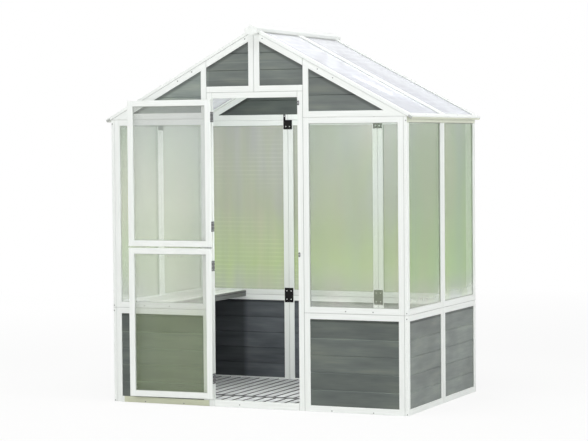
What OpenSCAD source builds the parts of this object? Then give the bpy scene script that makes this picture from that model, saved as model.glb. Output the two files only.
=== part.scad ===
// Small walk-in greenhouse: white timber frames, tongued boards below, polycarbonate sheets above.
// Millimetres, +Z up. The origin is the middle of the footprint at ground level, and the front looks along -Y.

/* [Walls] */
// Width of the house over its side walls
wall_w = 1900; // [1600:10:2300]
// Depth of the house over its front and back walls
wall_d = 1200; // [1000:10:1500]
// Height of the boarded lower frames
lower_h = 573; // [450:1:700]
// Height of the glazed upper frames
upper_h = 1131; // [1000:1:1300]

/* [Frames] */
// Thickness of every frame
frame_t = 20; // [18:1:26]
// Width of the stiles and rails
rail_w = 35; // [30:1:45]
// Planed-off edge of the stiles and rails
edge = 1.5; // [0.5:0.5:3]
// Depth of the groove that takes boards and sheets
groove_d = 8; // [5:1:12]
// Gap between neighbouring frames
seam = 0.6; // [0.2:0.1:0.9]
// Setback of both faces of the raking rails from the faces of their frame
rake_set = 0.4; // [0.2:0.1:1]
// Clearance of a piece in its groove or on its seat
fit = 0.3; // [0.1:0.1:0.5]

/* [Boards and sheets] */
// Thickness of a polycarbonate sheet
sheet_t = 4; // [4:1:6]
// Setback of the sheets behind the outer face of their frame
sheet_setback = 7; // [5:1:9]
// Thickness of the tongued boards
board_t = 10; // [8:1:11]
// Setback of the boards behind the outer face of their frame
board_setback = 5; // [4:1:6]
// Height that one board covers
board_pitch = 100; // [80:1:120]
// Depth of the V joint between two boards
vee = 3; // [1:0.5:4]

/* [Roof] */
// Slope of the roof in degrees
pitch = 28; // [22:1:34]
// How far the roof frames run out past the side walls
eave_out = 29; // [5:1:40]
// Gap between the two slopes at the ridge
ridge_gap = 2; // [1:1:10]
// Width of the ridge cap across both slopes
cap_w = 78; // [60:1:110]
// Thickness of the ridge cap
cap_t = 14; // [10:1:20]
// How far the ridge cap runs out past the gables
cap_out = 35; // [15:1:60]
// Depth of the pointed block under each end of the cap
cap_block_h = 13; // [5:1:25]

/* [Door] */
// Height of the threshold
threshold_h = 40; // [30:1:60]
// Height of the door opening above the ground
opening_h = 1822; // [1780:1:1850]
// Height of the lower door leaf
lower_leaf_h = 891; // [700:1:1000]
// Gap round the door leaves
leaf_gap = 6; // [6:0.5:8]
// Gap between the two door leaves
leaf_split = 10; // [8:1:16]
// Angle at which both leaves stand open, with 0 closed
open_angle = 177; // [90:1:178]

/* [Hinges and catches] */
// Height of a butt hinge
hinge_h = 60; // [45:1:80]
// Radius of the hinge knuckle
knuckle_r = 4; // [3:0.5:5]
// Radius of the hinge pin
pin_r = 1.8; // [1.5:0.1:2.5]
// Thickness of the hinge plates
plate_t = 1.8; // [1:0.1:2.2]
// Width of the hinge plates on the edge of leaf and jamb
plate_w = 16; // [12:1:18]
// Clearance between the knuckles and behind the plates of a hinge
play = 0.3; // [0.2:0.1:0.5]
// Running clearance of the hinge pin
pin_fit = 0.08; // [0.05:0.01:0.1]
// Distance of the lower hinge from the bottom of its leaf
hinge_low = 120; // [60:1:150]
// Distance of the upper hinge from the top of its leaf
hinge_high = 103; // [60:1:150]
// Length of a turn catch
catch_l = 28; // [20:1:40]
// Width of a turn catch
catch_w = 11; // [8:1:14]
// Thickness of a turn catch
catch_t = 3; // [2:0.5:5]

/* [Floor and shelf] */
// Height of the top of the floor
floor_h = 29; // [26:1:50]
// Thickness of the floor boards
deck_t = 15; // [12:1:20]
// Spacing of the floor boards
deck_pitch = 68; // [50:1:100]
// Gap between two floor boards
deck_gap = 17; // [5:1:30]
// Length of the front row of floor boards
deck_front = 271; // [150:1:400]
// Gap between the front row and the long boards behind it
deck_break = 6; // [3:1:12]
// Width of the joists under the floor
joist_w = 60; // [35:1:80]
// Number of joists
joist_n = 5; // [4:1:7]
// Height of the top of the shelf
shelf_h = 597; // [500:1:900]
// Width of the shelf from the left wall
shelf_w = 312; // [200:1:400]
// Thickness of the shelf with its frame
shelf_t = 37; // [30:1:50]
// Thickness of the shelf slats
slat_t = 10; // [8:1:14]
// Number of shelf slats
slat_n = 4; // [3:1:6]
// Gap between two shelf slats
slat_gap = 8; // [4:1:15]
// Number of bearers under the slats
bearer_n = 6; // [4:1:8]
// Depth of the two V lines along the edge rail of the shelf
shelf_vee = 3.5; // [1:0.5:4]

/* [Brackets] */
// Width of the flat black brackets
bracket_w = 60; // [45:1:70]
// Height of a bracket across the seam of lower and upper frames
bracket_h = 94; // [70:1:120]
// Thickness of the brackets
bracket_t = 2; // [1.5:0.5:3]
// Width of the tongue of an upper bracket
tongue_w = 14; // [10:1:20]

/* [Hidden] */

// Colours
white = [0.93, 0.94, 0.93];
grey = [0.42, 0.45, 0.43];
clear_green = [0.72, 0.78, 0.72, 0.6];
pale = [0.8, 0.81, 0.81];
black = [0.08, 0.08, 0.08];
zinc = [0.55, 0.56, 0.57];

// How far a rail reaches into its stile
lap = 2 * edge;
front = 0;
right = 90;
back = 180;
left = 270;
wall_h = lower_h + upper_h;
// Width of one of the three bays between the side walls
bay_w = (wall_w - 2 * frame_t) / 3;
side_bay_w = wall_d / 2;
apex_h = wall_h + wall_w / 2 * tan(pitch);
door_head = opening_h + rail_w;
roof_run = wall_w / 2 + eave_out;
roof_len = (roof_run - ridge_gap / 2) / cos(pitch);
roof_top = apex_h + fit + frame_t / cos(pitch);
cap_rise = cap_t / cos(pitch);

// Door leaves, drawn closed and then swung about the hinge axis
opening_half = bay_w / 2 - rail_w;
leaf_w = 2 * opening_half - 2 * leaf_gap;
hinge_x = -opening_half + leaf_gap / 2;
hinge_y = -wall_d / 2 - knuckle_r;
lower_leaf_z = threshold_h + leaf_gap;
upper_leaf_z = lower_leaf_z + lower_leaf_h + leaf_split;
upper_leaf_h = opening_h - leaf_gap - upper_leaf_z;

// ---- stiles, rails and frames ----

// Cross-section of a stile or rail, with its four edges planed off
module bar_section(w, t) {
    polygon([
        [edge, 0], [w - edge, 0], [w, edge], [w, t - edge],
        [w - edge, t], [edge, t], [0, t - edge], [0, edge]
    ]);
}

module upright(x, z, len, w = rail_w) {
    translate([x, 0, z]) linear_extrude(len) bar_section(w, frame_t);
}

module cross_rail(x, z, len, w = rail_w, t = frame_t) {
    translate([x, 0, z + w]) rotate([0, 90, 0]) linear_extrude(len) bar_section(w, t);
}

// A frame of two stiles and two rails, with the groove for what fills it
module frame(x, z, w, h, setback, fill_t) {
    clear_w = w - 2 * rail_w;
    difference() {
        union() {
            upright(x, z, h);
            upright(x + w - rail_w, z, h);
            for (rail_z = [z, z + h - rail_w])
                cross_rail(x + rail_w - lap, rail_z, clear_w + 2 * lap);
        }
        translate([x + rail_w - groove_d, setback - fit, z + rail_w - groove_d])
            cube([clear_w + 2 * groove_d, fill_t + 2 * fit, h - 2 * rail_w + 2 * groove_d]);
    }
}

// What is left for a sheet or boards between the bottoms of the grooves
function fill_inset() = rail_w - groove_d + fit;

module sheet(x, z, w, h) {
    translate([x + fill_inset(), sheet_setback, z + fill_inset()])
        cube([w - 2 * fill_inset(), sheet_t, h - 2 * fill_inset()]);
}

// Joint heights of boards that start at z and end below top
function joints(z, top) = [for (k = [1 : ceil((top - z) / board_pitch)])
    if (z + k * board_pitch < top - 2 * vee) z + k * board_pitch];

// Outline of a stack of boards seen from its end, with a V joint on both faces
function board_outline(z0, z1, at) = concat(
    [[0, z0]],
    [for (zj = at) each [[0, zj - vee], [vee, zj], [0, zj + vee]]],
    [[0, z1], [board_t, z1]],
    [for (k = [len(at) - 1 : -1 : 0]) each
        [[board_t, at[k] + vee], [board_t - vee, at[k]], [board_t, at[k] - vee]]],
    [[board_t, z0]]
);

module board_stack(x, len, z0, z1, at) {
    translate([x, board_setback, 0]) rotate([90, 0, 90])
        linear_extrude(len) polygon(board_outline(z0, z1, at));
}

module boards(x, z, w, h) {
    z0 = z + fill_inset();
    z1 = z + h - fill_inset();
    board_stack(x + fill_inset(), w - 2 * fill_inset(), z0, z1, joints(z + rail_w - groove_d, z1));
}

// ---- walls: local x runs along the wall, local y goes in, seen from outside ----

module wall(turn) {
    half = (turn == front || turn == back) ? wall_d / 2 : wall_w / 2;
    rotate([0, 0, turn]) translate([0, -half, 0]) children();
}

// Left edges of the bays of a wall that has an opening or not
function bays(turn) = turn == front ? [-1.5 * bay_w, 0.5 * bay_w]
    : turn == back ? [-1.5 * bay_w, -0.5 * bay_w, 0.5 * bay_w]
    : [-side_bay_w, 0];

function bay_size(turn) = (turn == front || turn == back) ? bay_w : side_bay_w;

module lower_frames(turn) {
    color(white) wall(turn) for (x = bays(turn))
        frame(x + seam / 2, 0, bay_size(turn) - seam, lower_h - seam, board_setback, board_t);
}

module upper_frames(turn) {
    color(white) wall(turn) for (x = bays(turn))
        frame(x + seam / 2, lower_h, bay_size(turn) - seam, upper_h - seam, sheet_setback, sheet_t);
}

module wall_boards(turn) {
    color(grey) wall(turn) for (x = bays(turn))
        boards(x + seam / 2, 0, bay_size(turn) - seam, lower_h - seam);
}

module wall_sheets(turn) {
    color(clear_green) wall(turn) for (x = bays(turn))
        sheet(x + seam / 2, lower_h, bay_size(turn) - seam, upper_h - seam);
}

// ---- gables: each piece runs from x0 to x1 right of the middle, on a rail at height z ----

function slope_z(x, drop) = apex_h - x * tan(pitch) - drop / cos(pitch);

function gable_outline(x0, x1, z, drop) = let (
    run_out = (apex_h - drop / cos(pitch) - z) / tan(pitch)
) run_out > x1
    ? [[x0, z], [x1, z], [x1, slope_z(x1, drop)], [x0, slope_z(x0, drop)]]
    : [[x0, z], [run_out, z], [x0, slope_z(x0, drop)]];

module gable_slab(points, y, t) {
    translate([0, y + t, 0]) rotate([90, 0, 0]) linear_extrude(t) polygon(points);
}

// Cuts a gable piece to an outline through its whole thickness
module gable_cut(points) {
    intersection() {
        children();
        gable_slab(points, -1, frame_t + 2);
    }
}

// A stile on the side of the middle, a bottom rail and a raking rail, with the groove for the boards
module gable_frame(x0, x1, z) {
    x_in = x0 + seam / 2;
    x_out = x1 - seam / 2;
    difference() {
        union() {
            gable_cut(gable_outline(x0 - 1, x1, z - 1, fit + edge)) upright(x_in, z, apex_h - z);
            gable_cut(gable_outline(x0, x1 + 1, z - 1, fit + edge))
                cross_rail(x_in + rail_w - lap, z, x_out - x_in - rail_w + lap);
            gable_cut([[x_in + edge, z + edge], [x_out, z + edge], [x_out, apex_h], [x_in + edge, apex_h]])
                translate([0, rake_set, apex_h]) rotate([0, pitch, 0])
                cross_rail(0, -rail_w - fit, wall_w / 2 / cos(pitch) + rail_w, rail_w, frame_t - 2 * rake_set);
        }
        gable_slab(gable_outline(x0 + rail_w - groove_d, x1 + frame_t, z + rail_w - groove_d,
            rail_w - groove_d), board_setback - fit, board_t + 2 * fit);
    }
}

module gable_boards(x0, x1, z) {
    z0 = z + fill_inset();
    gable_cut(gable_outline(x0 + fill_inset(), x1 - seam, z0, fill_inset() + fit))
        board_stack(x0, x1 - x0, z, apex_h, joints(z + rail_w - groove_d, apex_h));
}

// The front gable stands on the walls at the sides and on the door head in the middle
module front_gable_frames() {
    color(white) wall(front) for (side = [0, 1]) mirror([side, 0, 0]) {
        gable_frame(bay_w / 2, wall_w / 2, wall_h);
        gable_frame(0, bay_w / 2, door_head);
    }
}

module front_gable_boards() {
    color(grey) wall(front) for (side = [0, 1]) mirror([side, 0, 0]) {
        gable_boards(bay_w / 2, wall_w / 2, wall_h);
        gable_boards(0, bay_w / 2, door_head);
    }
}

module back_gable_frames() {
    color(white) wall(back) for (side = [0, 1]) mirror([side, 0, 0]) gable_frame(0, wall_w / 2, wall_h);
}

module back_gable_boards() {
    color(grey) wall(back) for (side = [0, 1]) mirror([side, 0, 0]) gable_boards(0, wall_w / 2, wall_h);
}

// ---- roof ----

// Sets a frame drawn upright on the slope over the right or left wall
module on_slope(side) {
    mirror([side, 0, 0])
        translate([roof_run + frame_t * sin(pitch), 0,
            slope_z(roof_run, 0) + fit + frame_t * cos(pitch)])
        rotate([0, pitch - 90, 0]) rotate([0, 0, 90]) children();
}

module roof_frames(side) {
    color(white) on_slope(side) for (x = [-side_bay_w, 0])
        frame(x + seam / 2, 0, side_bay_w - seam, roof_len, sheet_setback, sheet_t);
}

module roof_sheets(side) {
    color(clear_green) on_slope(side) for (x = [-side_bay_w, 0])
        sheet(x + seam / 2, 0, side_bay_w - seam, roof_len);
}

// Height of the top of the roof at x, with the seat of the cap
function roof_z(x) = roof_top + fit - x * tan(pitch);

module ridge_cap() {
    half = cap_w / 2;
    color(white) translate([0, wall_d / 2 + cap_out, 0]) rotate([90, 0, 0])
        linear_extrude(wall_d + 2 * cap_out)
        polygon([
            [-half, roof_z(half)], [0, roof_z(0)], [half, roof_z(half)],
            [half, roof_z(half) + cap_rise], [0, roof_z(0) + cap_rise],
            [-half, roof_z(half) + cap_rise]
        ]);
}

module ridge_end_blocks() {
    half = cap_w / 2;
    len = cap_out - fit;
    color(white) for (y = [-wall_d / 2 - fit, wall_d / 2 + cap_out])
        translate([0, y, 0]) rotate([90, 0, 0]) linear_extrude(len)
            polygon([
                [-half, roof_z(half) - fit], [0, roof_z(0) - fit], [half, roof_z(half) - fit],
                [half, roof_z(half) - cap_block_h], [0, roof_z(half) - 2 * cap_block_h],
                [-half, roof_z(half) - cap_block_h]
            ]);
}

// ---- door frame and leaves ----

module door_jambs() {
    color(white) wall(front) {
        upright(-bay_w / 2 + seam / 2, 0, door_head - seam, rail_w - seam / 2);
        upright(opening_half, 0, door_head - seam, rail_w - seam / 2);
    }
}

module door_header() {
    color(white) wall(front)
        cross_rail(-opening_half + fit, opening_h, 2 * opening_half - 2 * fit, rail_w - seam);
}

module threshold() {
    color(white) wall(front)
        cross_rail(-opening_half + fit, 0, 2 * opening_half - 2 * fit, threshold_h);
}

module swung() {
    translate([hinge_x, hinge_y, 0]) rotate([0, 0, -open_angle])
        translate([-hinge_x, -hinge_y, 0]) children();
}

module leaf_frame(z, h) {
    color(white) swung() wall(front) frame(-leaf_w / 2, z, leaf_w, h, sheet_setback, sheet_t);
}

module leaf_sheet(z, h) {
    color(clear_green) swung() wall(front) sheet(-leaf_w / 2, z, leaf_w, h);
}

// Bottoms of the two hinges of a leaf
function hinge_heights(z, h) = [z + hinge_low - hinge_h / 2, z + h - hinge_high - hinge_h / 2];

module knuckle(z0, z1) {
    translate([hinge_x, hinge_y, z0]) cylinder(r = knuckle_r, h = z1 - z0, $fn = 32);
}

module clear_knuckle(z0, z1) {
    translate([hinge_x, hinge_y, z0]) cylinder(r = knuckle_r + play, h = z1 - z0, $fn = 32);
}

// Plate on the edge of jamb or leaf, from x0 inwards
module hinge_plate(x0, z) {
    translate([x0, hinge_y + 1, z])
        cube([plate_t, plate_w + knuckle_r - 1, hinge_h]);
}

// Half on the jamb: two outer knuckles and the pin
module fixed_hinge(z) {
    third = hinge_h / 3;
    difference() {
        union() {
            hinge_plate(-opening_half + play / 3, z);
            knuckle(z, z + hinge_h);
        }
        clear_knuckle(z + third - play, z + 2 * third + play);
    }
    translate([hinge_x, hinge_y, z]) cylinder(r = pin_r, h = hinge_h, $fn = 24);
}

// Half on the leaf: the middle knuckle, bored for the pin
module moving_hinge(z) {
    third = hinge_h / 3;
    difference() {
        union() {
            hinge_plate(-opening_half + leaf_gap - plate_t - play / 3, z);
            knuckle(z + third, z + 2 * third);
        }
        clear_knuckle(z - 1, z + third);
        clear_knuckle(z + 2 * third, z + hinge_h + 1);
        translate([hinge_x, hinge_y, z - 1]) cylinder(r = pin_r + pin_fit, h = hinge_h + 2, $fn = 24);
    }
}

module jamb_hinges() {
    color(zinc) for (z = concat(hinge_heights(lower_leaf_z, lower_leaf_h),
            hinge_heights(upper_leaf_z, upper_leaf_h)))
        fixed_hinge(z);
}

module leaf_hinges(z, h) {
    color(zinc) swung() for (hz = hinge_heights(z, h)) moving_hinge(hz);
}

// Turn catches on the right jamb, one at the top of each leaf
module door_catches() {
    color(zinc) for (z = [upper_leaf_z + upper_leaf_h, lower_leaf_z + lower_leaf_h])
        translate([opening_half + catch_w / 2 + 2, -wall_d / 2 - fit, z - catch_l]) rotate([90, 0, 0]) {
            linear_extrude(catch_t) {
                translate([-catch_w / 2, -catch_l / 2 + catch_w / 2]) square([catch_w, catch_l - catch_w]);
                for (end = [-1, 1]) translate([0, end * (catch_l - catch_w) / 2]) circle(d = catch_w, $fn = 32);
            }
            cylinder(d = catch_w * 0.6, h = catch_t + 1.5, $fn = 32);
        }
}

// ---- floor, shelf and brackets ----

inner_w = wall_w - 2 * frame_t - 2 * fit;
inner_d = wall_d - 2 * frame_t - 2 * fit;

// Middle of the gap between the front row and the long boards
break_y = -inner_d / 2 + deck_front + deck_break / 2;

// One joist in front, one under the break and the others evenly from there to the back
module floor_joists() {
    under_break = break_y - joist_w / 2;
    step = (inner_d / 2 - joist_w - under_break) / (joist_n - 2);
    color(pale) for (y = concat(-inner_d / 2, [for (k = [0 : joist_n - 2]) under_break + k * step]))
        translate([-inner_w / 2, y, 0]) cube([inner_w, joist_w, floor_h - deck_t - fit]);
}

// A row of floor boards from y0 to y1, with the first one at x0
module floor_row(x0, count, y0, y1) {
    step = inner_w / floor(inner_w / deck_pitch);
    board_w = step - deck_gap;
    for (k = [0 : count - 1])
        translate([x0 + deck_gap / 2 + k * step, y1, floor_h - deck_t])
            rotate([90, 0, 0]) linear_extrude(y1 - y0)
            polygon([
                [0, 0], [board_w, 0], [board_w, deck_t - edge], [board_w - edge, deck_t],
                [edge, deck_t], [0, deck_t - edge]
            ]);
}

// Long boards at the back, and a short row in front whose boards lie between theirs
module floor_boards() {
    count = floor(inner_w / deck_pitch);
    color(pale) {
        floor_row(-inner_w / 2, count, break_y + deck_break / 2, inner_d / 2);
        floor_row(-inner_w / 2 + inner_w / count / 2, count - 1, -inner_d / 2, break_y - deck_break / 2);
    }
}

shelf_x = -inner_w / 2;
bearer_h = shelf_t - slat_t - fit;

// Outline of the edge rail, with two V lines along its outer face
module edge_rail_section() {
    lines = [shelf_t / 3, shelf_t * 2 / 3];
    polygon(concat(
        [[0, shelf_t], [0, 0], [frame_t - edge, 0], [frame_t, edge]],
        [for (z = lines) each [
            [frame_t, z - shelf_vee], [frame_t - shelf_vee, z], [frame_t, z + shelf_vee]
        ]],
        [[frame_t, shelf_t - edge], [frame_t - edge, shelf_t]]
    ));
}

// Edge rail and wall rail, joined by bearers that carry the slats
module shelf_frame() {
    color(grey) {
        translate([shelf_x + shelf_w - frame_t, inner_d / 2, shelf_h - shelf_t])
            rotate([90, 0, 0]) linear_extrude(inner_d) edge_rail_section();
        translate([shelf_x, -inner_d / 2, shelf_h - shelf_t]) cube([frame_t, inner_d, bearer_h]);
        for (k = [0 : bearer_n - 1])
            translate([shelf_x, -inner_d / 2 + k * (inner_d - frame_t) / (bearer_n - 1), shelf_h - shelf_t])
                cube([shelf_w - frame_t + lap, frame_t, bearer_h]);
    }
}

module shelf_slats() {
    room = shelf_w - frame_t;
    slat_w = (room - slat_n * slat_gap) / slat_n;
    color(pale) for (k = [0 : slat_n - 1])
        translate([shelf_x + fit + k * (slat_w + slat_gap), -inner_d / 2, shelf_h - slat_t])
            cube([slat_w, inner_d, slat_t]);
}

// Flat plate on the inner face of a wall, across the seam at x
module seam_plate(x, z, w, h) {
    translate([x - w / 2, frame_t + fit, z]) cube([w, bracket_t, h]);
}

// Plate on the two stiles that meet at the seam at x, level with the top of the wall
module upper_plate(x) {
    seam_plate(x, wall_h - seam - bracket_w, bracket_w, bracket_w);
}

// Upper plate with a tongue that runs up over the bottom rail of the gable
module upper_bracket(x) {
    upper_plate(x);
    seam_plate(x + (bracket_w - tongue_w) / 2, wall_h - seam - bracket_w, tongue_w, bracket_w + rail_w);
}

module upper_brackets() {
    color(black) {
        for (x = [-bay_w / 2, bay_w / 2]) wall(back) upper_bracket(x);
        for (turn = [left, right]) wall(turn) upper_plate(0);
        wall(back) seam_plate(0, wall_h + rail_w - bracket_w, bracket_w, bracket_w);
    }
}

module middle_brackets() {
    color(black) {
        for (x = [-bay_w / 2, bay_w / 2]) wall(back) seam_plate(x, lower_h - bracket_h / 2, bracket_w, bracket_h);
        wall(right) seam_plate(0, lower_h - bracket_h / 2, bracket_w, bracket_h);
    }
}

lower_frames(front);  // front_lower_frames
upper_frames(front);  // front_upper_frames
wall_boards(front);  // front_boards
wall_sheets(front);  // front_sheets
lower_frames(back);  // back_lower_frames
upper_frames(back);  // back_upper_frames
wall_boards(back);  // back_boards
wall_sheets(back);  // back_sheets
lower_frames(left);  // left_lower_frames
upper_frames(left);  // left_upper_frames
wall_boards(left);  // left_boards
wall_sheets(left);  // left_sheets
lower_frames(right);  // right_lower_frames
upper_frames(right);  // right_upper_frames
wall_boards(right);  // right_boards
wall_sheets(right);  // right_sheets
door_jambs();
door_header();
threshold();
front_gable_frames();
front_gable_boards();
back_gable_frames();
back_gable_boards();
roof_frames(1);  // left_roof_frames
roof_sheets(1);  // left_roof_sheets
roof_frames(0);  // right_roof_frames
roof_sheets(0);  // right_roof_sheets
ridge_cap();
ridge_end_blocks();
floor_joists();
floor_boards();
shelf_frame();
shelf_slats();
upper_brackets();
middle_brackets();
door_catches();
jamb_hinges();
leaf_frame(upper_leaf_z, upper_leaf_h);  // upper_door_frame
leaf_sheet(upper_leaf_z, upper_leaf_h);  // upper_door_sheet
leaf_hinges(upper_leaf_z, upper_leaf_h);  // upper_door_hinges
leaf_frame(lower_leaf_z, lower_leaf_h);  // lower_door_frame
leaf_sheet(lower_leaf_z, lower_leaf_h);  // lower_door_sheet
leaf_hinges(lower_leaf_z, lower_leaf_h);  // lower_door_hinges
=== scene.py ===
# A small walk-in greenhouse: white timber frames, grey boards below and polycarbonate sheets above.
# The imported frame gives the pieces; this file gives them their finish, their small hardware and the light.
import math
import random

import bpy
from mathutils import Matrix, Vector


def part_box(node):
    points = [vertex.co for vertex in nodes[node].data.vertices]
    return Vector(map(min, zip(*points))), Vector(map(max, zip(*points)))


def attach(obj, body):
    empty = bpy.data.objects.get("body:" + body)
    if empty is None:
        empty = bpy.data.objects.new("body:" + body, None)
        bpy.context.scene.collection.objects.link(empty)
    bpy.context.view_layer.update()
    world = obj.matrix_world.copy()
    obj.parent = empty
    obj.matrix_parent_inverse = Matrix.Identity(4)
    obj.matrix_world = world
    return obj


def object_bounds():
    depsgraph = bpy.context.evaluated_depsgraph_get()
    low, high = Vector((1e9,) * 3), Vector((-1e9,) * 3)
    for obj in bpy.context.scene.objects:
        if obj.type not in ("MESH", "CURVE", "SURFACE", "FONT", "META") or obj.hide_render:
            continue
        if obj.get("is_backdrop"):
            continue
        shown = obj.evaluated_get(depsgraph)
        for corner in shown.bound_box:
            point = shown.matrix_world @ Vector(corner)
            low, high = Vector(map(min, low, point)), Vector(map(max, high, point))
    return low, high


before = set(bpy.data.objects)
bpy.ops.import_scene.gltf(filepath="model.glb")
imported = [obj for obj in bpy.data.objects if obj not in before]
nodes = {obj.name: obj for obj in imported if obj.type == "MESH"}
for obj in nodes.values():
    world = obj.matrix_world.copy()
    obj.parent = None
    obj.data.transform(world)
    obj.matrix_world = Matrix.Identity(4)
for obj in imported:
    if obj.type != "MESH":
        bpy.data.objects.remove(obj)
cadLow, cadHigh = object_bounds()
mm = 0.001
print("frame loaded:", len(nodes), "nodes")


# measures read from the frame

def wallFrame(turn, tilt=90):
    # a wall seen from outside: x runs along it, y up it and z out of it
    return Matrix.Rotation(math.radians(turn), 4, "Z") @ Matrix.Rotation(math.radians(tilt), 4, "X")


def solidBoxes(node, view=None):
    # low and high corner of every separate solid in a node, in the axes of a wall frame
    mesh = nodes[node].data
    turned = (view or Matrix.Identity(4)).inverted()
    names, parent, corner = {}, [], []

    def root(k):
        while parent[k] != k:
            parent[k] = parent[parent[k]]
            k = parent[k]
        return k

    for vertex in mesh.vertices:
        key = tuple(round(c, 5) for c in vertex.co)
        if key not in names:
            names[key] = len(parent)
            parent.append(len(parent))
        corner.append(names[key])
    for face in mesh.polygons:
        first = root(corner[face.vertices[0]])
        for k in face.vertices[1:]:
            parent[root(corner[k])] = first
    solids = {}
    for key, k in names.items():
        solids.setdefault(root(k), []).append(turned @ Vector(key))
    spans = [list(zip(*points)) for points in solids.values()]
    return sorted([[min(span) for span in box], [max(span) for span in box]] for box in spans)


pitchAngle = 28  # of the roof, in degrees
views = {"front": wallFrame(0), "right": wallFrame(90), "back": wallFrame(180), "left": wallFrame(270)}
slopes = {"right": wallFrame(90, pitchAngle), "left": wallFrame(270, pitchAngle)}
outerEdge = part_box("right_lower_frames")[1].x
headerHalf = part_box("door_header")[1].x
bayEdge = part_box("door_jambs")[1].x
railWide = bayEdge - headerHalf  # the jambs stand just outside the header
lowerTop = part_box("front_lower_frames")[1].z
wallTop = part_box("front_upper_frames")[1].z
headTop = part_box("door_header")[1].z
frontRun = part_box("front_lower_frames")[1].x
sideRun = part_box("right_lower_frames")[1].y
frontFace = -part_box("front_lower_frames")[0].y
groove = 8 * mm
slopeAngle = math.radians(pitchAngle)
apexTop = wallTop + outerEdge * math.tan(slopeAngle)
rakeTop = apexTop * math.cos(slopeAngle)  # the gable's sloping edge, measured square to the slope
beyond = 2.0  # farther out than any edge of the house
print("rail", round(railWide, 4), "wall top", round(wallTop, 4), "apex", round(apexTop, 4))


# materials: every pattern is given by the size of its marks, in the house's own axes

def srgb(text):
    parts = [int(text[k:k + 2], 16) / 255 for k in (1, 3, 5)]
    return tuple(p / 12.92 if p <= 0.04045 else ((p + 0.055) / 1.055) ** 2.4 for p in parts) + (1.0,)


def addNode(tree, kind, feeds=(), steps=(), **options):
    # feeds go to the sockets, in order or by name: a node or an output is linked, anything else is set;
    # steps are the (position, hex colour) pairs of a ramp, and options are the node's own
    node = tree.nodes.new("ShaderNode" + kind)
    for name, value in options.items():
        setattr(node, name, value)
    for position, colour in steps[1:-1]:
        node.color_ramp.elements.new(position).color = srgb(colour)
    for end in (0, -1) if steps else ():
        stop = node.color_ramp.elements[end]
        stop.position, stop.color = steps[end][0], srgb(steps[end][1])
    for socket, feed in feeds.items() if isinstance(feeds, dict) else enumerate(feeds):
        if isinstance(feed, bpy.types.Node):
            feed = feed.outputs[0]
        if isinstance(feed, bpy.types.NodeSocket):
            tree.links.new(feed, node.inputs[socket])
        else:
            node.inputs[socket].default_value = feed
    return node


def startMaterial(name):
    material = bpy.data.materials.new(name)
    material.use_nodes = True
    tree = material.node_tree
    tree.nodes.clear()
    return material, tree, addNode(tree, "TexCoord").outputs["Object"]


def finishMaterial(tree, tone, finish, height=None, more=None):
    # finish holds the roughness and the relief, which follows the height pattern; more is for other sockets
    feeds = {"Base Color": tone, "Roughness": finish["roughness"], **(more or {})}
    if height:
        feeds["Normal"] = addNode(tree, "Bump", {"Height": height, "Distance": finish["relief"],
                                                 "Strength": finish["reliefStrength"]})
    addNode(tree, "OutputMaterial", [addNode(tree, "BsdfPrincipled", feeds)])


def longAlong(axis, wide, long):
    # the sizes of marks that are long along one axis and wide across the others
    sizes = [wide] * 3
    sizes["XYZ".index(axis)] = long
    return sizes


def stretched(tree, place, sizes):
    # the place counted in marks of the given sizes along x, y and z
    return addNode(tree, "VectorMath", [place, [1 / size for size in sizes]], operation="MULTIPLY")


def marks(tree, place, sizes, detail=3.0, rough=0.5):
    # soft random marks, whose values keep mostly between 0.3 and 0.7
    return addNode(tree, "TexNoise", {"Vector": stretched(tree, place, sizes), "Scale": 1.0,
                                      "Detail": detail, "Roughness": rough})


def shadedBy(tree, tone, factors):
    # the tone made darker or paler by each factor in turn
    for factor in factors:
        tone = addNode(tree, "VectorMath", {0: tone, "Scale": factor}, operation="SCALE")
    return tone


def insideRange(tree, value, low, high, edge):
    # one between low and high, falling away over the edge on either side
    rising = addNode(tree, "MapRange", [value, low - edge, low, 0.0, 1.0])
    falling = addNode(tree, "MapRange", [value, high, high + edge, 1.0, 0.0])
    return addNode(tree, "Math", [rising, falling], operation="MULTIPLY")


def leaning(tree, place):
    # x folded to one side and turned into the roof slope, so that x runs down it and z stands square to it
    parts = addNode(tree, "SeparateXYZ", [place]).outputs
    outward = addNode(tree, "Math", [parts[0]], operation="ABSOLUTE")
    folded = addNode(tree, "CombineXYZ", [outward, parts[1], parts[2]])
    return addNode(tree, "VectorRotate", {"Vector": folded, "Angle": -slopeAngle}, rotation_type="Y_AXIS")


def wear(node, material):
    if not nodes[node].material_slots:
        nodes[node].data.materials.append(material)
    for slot in nodes[node].material_slots:
        slot.material = material


# white timber: planed fir under satin white, so it is smooth and even and the grain only just shows through

whiteTimber = {
    "tones": [(0.3, "#e1e5e1"), (0.62, "#edf0ee")],  # the paint is thinner over the hard rings
    "roughness": 0.42,
    "ring": (4 * mm, 260 * mm),  # across and along the grain, from growth rings 3 to 5 mm apart
    "ringDetail": 5.0,
    "ringRough": 0.6,
    "relief": 0.12 * mm,
    "reliefStrength": 0.5,
    # painted shade in the panel joints: how far it reaches and how dark it is
    "seamReach": 1.4 * mm,
    "seamTone": 0.62,
    # colours of painted shade: one tinted by a green reflection, and a grey one
    "greenShade": "#b9bd96",
    "greyShade": "#4e4f48",
    "patchEdge": 1.5 * mm,
}


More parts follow.
